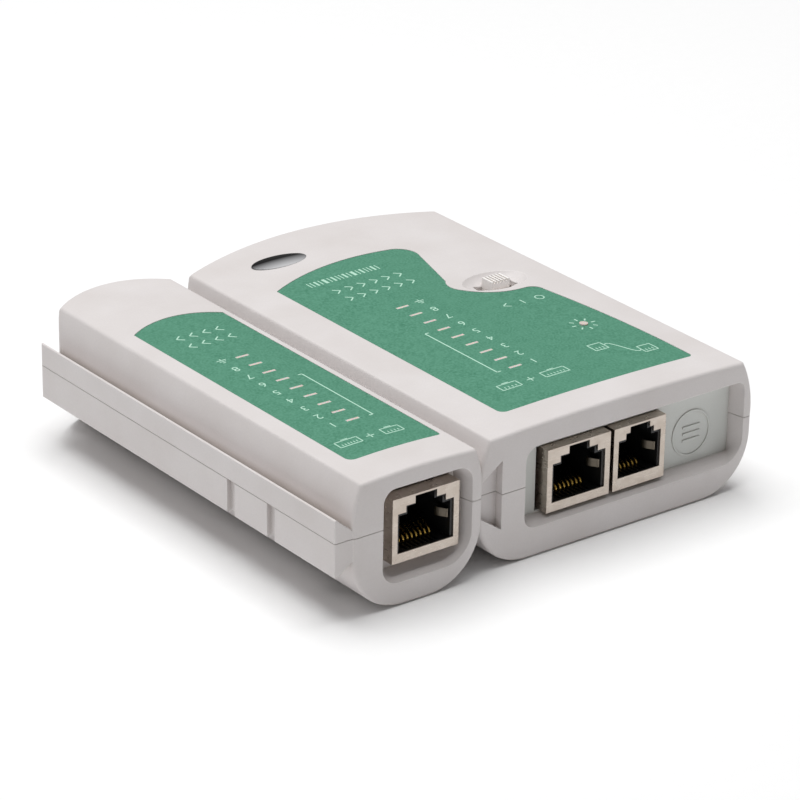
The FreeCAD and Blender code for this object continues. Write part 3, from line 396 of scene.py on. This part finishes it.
def skin(work, rings):
    """Faces between each ring of vertices and the next, and one over each end."""
    for first, second in zip(rings, rings[1:]):
        for step in range(len(first)):
            after = (step + 1) % len(first)
            work.faces.new((first[step], first[after], second[after], second[step]))
    work.faces.new(rings[0][::-1])
    work.faces.new(rings[-1])


def to_piece(name, work, body, slot, smooth_angle=35):
    """Turns a bmesh into a piece that rides on a body, and shades its gentle faces smoothly."""
    bmesh.ops.recalc_face_normals(work, faces=work.faces)
    for edge in work.edges:
        edge.smooth = len(edge.link_faces) == 2 and edge.calc_face_angle() < math.radians(smooth_angle)
    for face in work.faces:
        face.smooth = True
    mesh = bpy.data.meshes.new(name)
    work.to_mesh(mesh)
    work.free()
    piece = bpy.data.objects.new(name, mesh)
    bpy.context.scene.collection.objects.link(piece)
    coat(piece, slot)
    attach(piece, body)
    return piece


def smoothed(node):
    """A copy of a CAD node, shaded smoothly where its faces meet gently, that stands for the node."""
    work = bmesh.new()
    work.from_mesh(nodes[node].data)
    bmesh.ops.remove_doubles(work, verts=work.verts, dist=0.001 * MM)
    piece = to_piece(node + "_smooth", work, body_of[node], slots[node], 30)
    weighted = piece.modifiers.new("weighted", "WEIGHTED_NORMAL")
    weighted.keep_sharp = True
    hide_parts(node)


# ---------------------------------------------------------------- print
class Print:
    """Ink laid on one label: bars, rings and figures that follow the label's curved face."""

    RISE = 0.02         # how far the ink stands up
    STEP = 1.5          # the longest straight run before a bar meets the face again
    FONT_SIZE = 1.37    # the font's size for a figure that is one unit tall

    def __init__(self, node, unit):
        mesh = nodes[node].data
        faces = [polygon.vertices for polygon in mesh.polygons]
        self.face = BVHTree.FromPolygons([vertex.co for vertex in mesh.vertices], faces)
        self.unit = unit
        self.work = bmesh.new()

    def on(self, x, y, rise):
        """The point of the label's face at local x, y in millimetres, raised by rise."""
        above = self.unit + Vector((x, y, 60)) * MM
        found = self.face.ray_cast(above, Vector((0, 0, -1)))[0]
        return found + Vector((0, 0, rise * MM))

    def strip(self, pairs, closed=False):
        """A flat band of ink through pairs of left and right points."""
        rings = [[self.work.verts.new(self.on(*point, rise))
                  for point, rise in ((left, 0), (right, 0), (right, self.RISE), (left, self.RISE))]
                 for left, right in pairs]
        count = len(rings)
        for index in range(count if closed else count - 1):
            first, second = rings[index], rings[(index + 1) % count]
            for corner in range(4):
                after = (corner + 1) % 4
                self.work.faces.new((first[corner], first[after], second[after], second[corner]))
        if not closed:
            self.work.faces.new(rings[0])
            self.work.faces.new(rings[-1][::-1])

    def bar(self, start, end, width):
        """A straight line of ink."""
        start, end = Vector(start), Vector(end)
        along = end - start
        side = Vector((-along.y, along.x)).normalized() * width / 2
        count = max(1, math.ceil(along.length / self.STEP))
        middles = [start + along * step / count for step in range(count + 1)]
        self.strip([(middle + side, middle - side) for middle in middles])

    def path(self, points, width):
        """Straight lines of ink from point to point."""
        for start, end in zip(points, points[1:]):
            self.bar(start, end, width)

    def outline(self, x, y, half_width, half_depth, width):
        """A rectangle of ink around a middle."""
        left, right, front, back = x - half_width, x + half_width, y - half_depth, y + half_depth
        self.path([(left, front), (right, front), (right, back), (left, back), (left, front)], width)

    def ring(self, centre, radius, width):
        """A circle of ink."""
        centre, outer, inner = Vector(centre), radius + width / 2, radius - width / 2
        ways = [Vector(way) for way in circle(28)]
        self.strip([(centre + way * outer, centre + way * inner) for way in ways], closed=True)

    def figure(self, text, x, y, height):
        """A printed numeral, read from the back of the unit."""
        curve = bpy.data.curves.new("figure", "FONT")
        curve.body = text
        curve.size = height * self.FONT_SIZE
        curve.align_x = "CENTER"
        curve.extrude = self.RISE / 2
        holder = bpy.data.objects.new("figure", curve)
        mesh = bpy.data.meshes.new_from_object(holder)
        tall = max(vertex.co.y for vertex in mesh.vertices)
        for vertex in mesh.vertices:
            side, along, up = vertex.co
            vertex.co = self.on(x - side, y - (along - tall / 2), up + self.RISE / 2)
        self.work.from_mesh(mesh)
        bpy.data.objects.remove(holder)
        bpy.data.meshes.remove(mesh)

    def done(self, name, body):
        """Makes the ink a piece."""
        to_piece(name, self.work, body, "label_ink")


def plug_mark(marks, x, y, width, ways):
    """A plug seen from above: its outline, its contacts and its latch."""
    deep, line, gap, latch = 1.15, 0.24, 0.35, 0.8
    pitch, thin = (width - 1.1) / ways, 0.2
    marks.outline(x, y, width / 2, deep, line)
    for way in range(ways):
        at = x + (way - (ways - 1) / 2) * pitch
        marks.bar((at, y - deep + gap), (at, y - 0.1), thin)
    marks.bar((x - latch, y + deep + gap), (x + latch, y + deep + gap), line)


def plus_mark(marks, x, y):
    """A plus sign, between the plugs that fit a unit."""
    size, line = 0.9, 0.26
    marks.bar((x - size, y), (x + size, y), line)
    marks.bar((x, y - size), (x, y + size), line)


def ground_mark(marks, x, y):
    """Three bars that grow shorter, as beside an earth terminal."""
    top, gap, stem, line = y + 0.55, 0.6, 0.7, 0.26
    for number, half in enumerate((1.1, 0.72, 0.34)):
        marks.bar((x - half, top - gap * number), (x + half, top - gap * number), line)
    marks.bar((x, top), (x, top + stem), line)


def chevron_row(marks, x, y, count, way):
    """A row of arrow heads that show which way the signal goes."""
    pitch, half, tail, tip, line = 3.1, 1.1, 0.75 * way, 0.55 * way, 0.3
    for number in range(count):
        at = x + (number - (count - 1) / 2) * pitch
        marks.path([(at - tail, y - half), (at + tip, y), (at - tail, y + half)], line)


def lamp_scale(marks, row, side):
    """Numerals beside the lamps, an earth mark, and the bracket around the first six."""
    offset, height = 4.6 * side, 2.1
    *numbered, ground = row.along
    for number, along in enumerate(numbered, 1):
        marks.figure(str(number), row.across + offset, along, height)
    ground_mark(marks, row.across + offset, ground)
    line_at, tick, line = row.across - offset, 0.9 * side, 0.3
    first, last = row.along[0] - 0.2, row.along[5] + 0.1
    marks.path([(line_at + tick, first), (line_at, first), (line_at, last), (line_at + tick, last)], line)


def power_rays(marks):
    """Short rays around the power lens."""
    low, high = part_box("power_lens")
    lens = (((low + high) / 2 - MASTER) / MM).xy
    inner, outer, line = 1.9, 2.9, 0.32
    for way in circle(8):
        marks.bar(lens + Vector(way) * inner, lens + Vector(way) * outer, line)


def cable_mark(marks, first, second):
    """Two plugs and the swaying cable between them."""
    half_width, half_depth, steps, sway = 1.6, 1.5, 20, 1.5
    for x, y in (first, second):
        marks.outline(x, y, half_width, half_depth, 0.26)
        for way in (-0.8, 0.0, 0.8):
            marks.bar((x + way, y - 1.1), (x + way, y - 0.2), 0.22)
    start, end = Vector(first) - Vector((half_width, 0)), Vector(second) + Vector((half_width, 0))
    cable = []
    for step in range(steps + 1):
        share = step / steps
        x, y = start + (end - start) * share
        cable.append((x, y - sway * math.sin(2 * math.pi * share)))
    marks.path(cable, 0.28)


def switch_marks(marks):
    """Marks for the switch's three places: a ring, a bar and an arrow head."""
    marks.ring((19.0, 48.2), 0.95, 0.26)
    marks.bar((14.6, 47.2), (14.6, 49.2), 0.28)
    marks.path([(11.2, 47.4), (9.8, 48.3), (11.2, 49.2)], 0.26)


def bar_row(marks, start, front, back):
    """A plain row of thin and thick bars."""
    gap, inked, at = 0.55, 0.8, start
    thin, middle, thick = 0.3, 0.6, 0.9
    group = (thin, middle, thin, thick, thin, middle, thin)
    for width in (thin,) + group + group + (thin, middle, thin):
        at += width / 2
        marks.bar((at, front), (at, back), width * inked)
        at += width / 2 + gap


def print_master():
    """The master label's ink."""
    marks = Print("master_label", MASTER)
    lamp_scale(marks, Row("master_light_windows", MASTER), 1)
    plug_mark(marks, x=-13.8, y=16.9, width=4.6, ways=4)
    plus_mark(marks, x=-8.6, y=16.9)
    plug_mark(marks, x=-2.6, y=16.9, width=5.8, ways=6)
    power_rays(marks)
    cable_mark(marks, (20.2, 16.0), (12.2, 21.6))
    switch_marks(marks)
    for y in (69.4, 73.8):
        chevron_row(marks, x=-5.0, y=y, count=6, way=1)
    bar_row(marks, start=-16.0, front=78.4, back=80.6)
    marks.done("master_print", "master")


def print_remote():
    """The remote label's ink."""
    marks = Print("remote_label", REMOTE)
    lamp_scale(marks, Row("remote_light_windows", REMOTE), -1)
    plug_mark(marks, x=-4.8, y=15.6, width=5.0, ways=6)
    plus_mark(marks, x=0.2, y=15.6)
    plug_mark(marks, x=5.2, y=15.6, width=4.2, ways=4)
    for y in (69.2, 73.6):
        chevron_row(marks, x=1.2, y=y, count=4, way=-1)
    marks.done("remote_print", "remote")


# ---------------------------------------------------------------- pieces of their own
def make_badge():
    """The oval badge as a resin dome with a rolled rim."""
    low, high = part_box("oval_badge")
    middle, half, base = (low + high) / 2, (high - low) / 2, high.z - 0.18 * MM
    rim, rim_rise, dome_rise = 0.95, 0.1, 0.26
    profile = [(1.0, -0.35), (1.0, -0.02), (0.985, 0.05), (rim, rim_rise)]
    for share in (0.85, 0.7, 0.5, 0.25):
        profile.append((share, rim_rise + dome_rise * (1 - (share / rim) ** 2)))
    work = bmesh.new()
    rings = []
    for share, rise in profile:
        places = [(middle.x + half.x * share * x, middle.y + half.y * share * y, base + rise * MM)
                  for x, y in circle(72)]
        rings.append([work.verts.new(place) for place in places])
    skin(work, rings)
    piece = to_piece("oval_badge_dome", work, "master", "badge_black", 60)
    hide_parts("oval_badge")


def make_spring_tab(shield, contacts):
    """The sprung tab of a socket's shield that touches the plug, on the right inside its mouth."""
    low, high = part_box(shield)
    last_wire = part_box(contacts)[1].x
    wall = last_wire + (high.x - last_wire) * 0.42
    front, base = low.y + 0.5 * MM, low.z + 5.9 * MM
    thick, tall = 0.25 * MM, 1.7 * MM
    profile = [(0.0, 0.2), (-0.3, 0.7), (-0.75, 1.3), (-1.1, 1.9), (-1.2, 2.3), (-1.1, 2.7)]
    work = bmesh.new()
    rings = []
    for inward_shade, depth in profile:
        x, y = wall + inward_shade * MM, front + depth * MM
        places = ((x, y, base), (x + thick, y, base), (x + thick, y, base + tall), (x, y, base + tall))
        rings.append([work.verts.new(place) for place in places])
    skin(work, rings)
    # The tab takes the darker copy of the nickel: painted shade.
    tab = to_piece(shield + "_spring_tab", work, body_of[shield], "shaded_tab_nickel")


def make_wires(shield, contacts, ways):
    """A socket's contact wires: round, tightly bent at the front, sloping up and back from there.

    The route gives each wire's depth behind the shield's front and its height over the shield's base.
    """
    low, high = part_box(shield)
    first_wire, last_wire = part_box(contacts)
    middle = (first_wire.x + last_wire.x) / 2
    wire, pitch, deep = 0.23, 1.02, (high.y - low.y) / MM
    route = [(deep - 1.5, 15.4), (deep - 1.5, 2.0), (deep - 2.0, 1.35), (4.6, 1.3), (3.95, 1.45),
             (3.6, 1.85), (3.5, 2.35), (3.7, 2.8), (4.2, 3.1), (11.0, 6.1)]
    work = bmesh.new()
    for way in range(ways):
        x = middle + pitch * (way - (ways - 1) / 2) * MM
        rings = []
        for index, (y, z) in enumerate(route):
            before, after = route[max(index - 1, 0)], route[min(index + 1, len(route) - 1)]
            along = Vector((after[0] - before[0], after[1] - before[1])).normalized()
            ring = []
            for side, lift in circle(10):
                side, lift = side * wire, lift * wire
                ring.append(work.verts.new((x + side * MM, low.y + (y - along.y * lift) * MM,
                                            low.z + (z + along.x * lift) * MM)))
            rings.append(ring)
        skin(work, rings)
    piece = to_piece(contacts + "_wires", work, body_of[contacts], "gold", 50)
    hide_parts(contacts)


def dress_frame():
    """Paints every CAD node with its slot's material."""
    for node, item in nodes.items():
        coat(item, slots[node])


# ---------------------------------------------------------------- stage, light and camera
def aimed(item, place, target):
    """Puts an item at a place, looking at a target."""
    item.location = place
    item.rotation_euler = (Vector(target) - Vector(place)).to_track_quat("-Z", "Y").to_euler()
    bpy.context.scene.collection.objects.link(item)


def make_stage():
    """A plain pale floor, just under the object, that reaches past the view."""
    reach, gap = 4.0, 0.05 * MM
    work = bmesh.new()
    bmesh.ops.create_grid(work, x_segments=2, y_segments=2, size=reach)
    mesh = bpy.data.meshes.new("floor")
    work.to_mesh(mesh)
    work.free()
    floor = bpy.data.objects.new("floor", mesh)
    floor.location.z = cad_low.z - gap
    bpy.context.scene.collection.objects.link(floor)
    paint = Paint("floor_white")
    light, dark = (0.97, 0.97, 0.97, 1), (0.95, 0.95, 0.95, 1)
    paint.set(Base_Color=paint.mix(paint.noise(3.0, 2.0), light, dark), Roughness=0.7)
    floor.data.materials.append(paint.material)


def soft_light(name, place, width, power):
    """A square white light that faces the object."""
    lamp = bpy.data.lights.new(name, "AREA")
    lamp.shape = "SQUARE"
    lamp.size = width
    lamp.energy = power
    aimed(bpy.data.objects.new(name, lamp), place, (0, 0, 0.01))


def make_light():
    """One broad light overhead, a weak one at the left, and an even pale surround."""
    world = bpy.data.worlds.new("surround")
    bpy.context.scene.world = world
    world.use_nodes = True
    back = world.node_tree.nodes["Background"]
    back.inputs["Color"].default_value = (1.0, 1.0, 1.0, 1)
    back.inputs["Strength"].default_value = 0.21
    soft_light("key", place=(-0.02, 0.16, 1.3), width=1.15, power=18.6)
    soft_light("side", place=(-1.2, 0.05, 0.3), width=0.4, power=0.75)
    bpy.context.scene.view_settings.view_transform = "Standard"


def make_camera():
    """The viewpoint: in front of the remote unit's side, looking down on both units."""
    azimuth, elevation, roll = (math.radians(angle) for angle in (-37.48, 24.13, 0.96))
    eye = (-0.41143, -0.54195, 0.31749)
    back = Vector((math.sin(azimuth) * math.cos(elevation), -math.cos(azimuth) * math.cos(elevation),
                   math.sin(elevation)))
    right = Vector((0, 0, 1)).cross(back).normalized()
    up = back.cross(right)
    across = math.cos(roll) * right + math.sin(roll) * up
    upright = math.cos(roll) * up - math.sin(roll) * right
    lens = bpy.data.cameras.new("camera")
    lens.lens, lens.sensor_width = 168.2, 36.0
    lens.clip_start, lens.clip_end = 0.05, 20.0
    camera = bpy.data.objects.new("camera", lens)
    turn = Matrix((across, upright, back)).transposed()
    camera.matrix_world = Matrix.Translation(eye) @ turn.to_4x4()
    bpy.context.scene.collection.objects.link(camera)
    bpy.context.scene.camera = camera


ROUNDED_NODES = ("master_upper_shell", "master_lower_shell", "battery_door", "remote_upper_shell",
                 "remote_lower_shell", "port_panel", "master_label", "remote_label", "switch_slider",
                 "battery_9v", "power_lens")
SOCKET_WAYS = {"master_rj45": 8, "master_rj11": 6, "remote_rj45": 8}

dress_frame()
for rounded_node in ROUNDED_NODES:
    smoothed(rounded_node)
for socket_name, ways in SOCKET_WAYS.items():
    make_spring_tab(socket_name + "_shield", socket_name + "_contacts")
    make_wires(socket_name + "_shield", socket_name + "_contacts", ways)
make_badge()
print_master()
print_remote()
make_stage()
make_light()
make_camera()
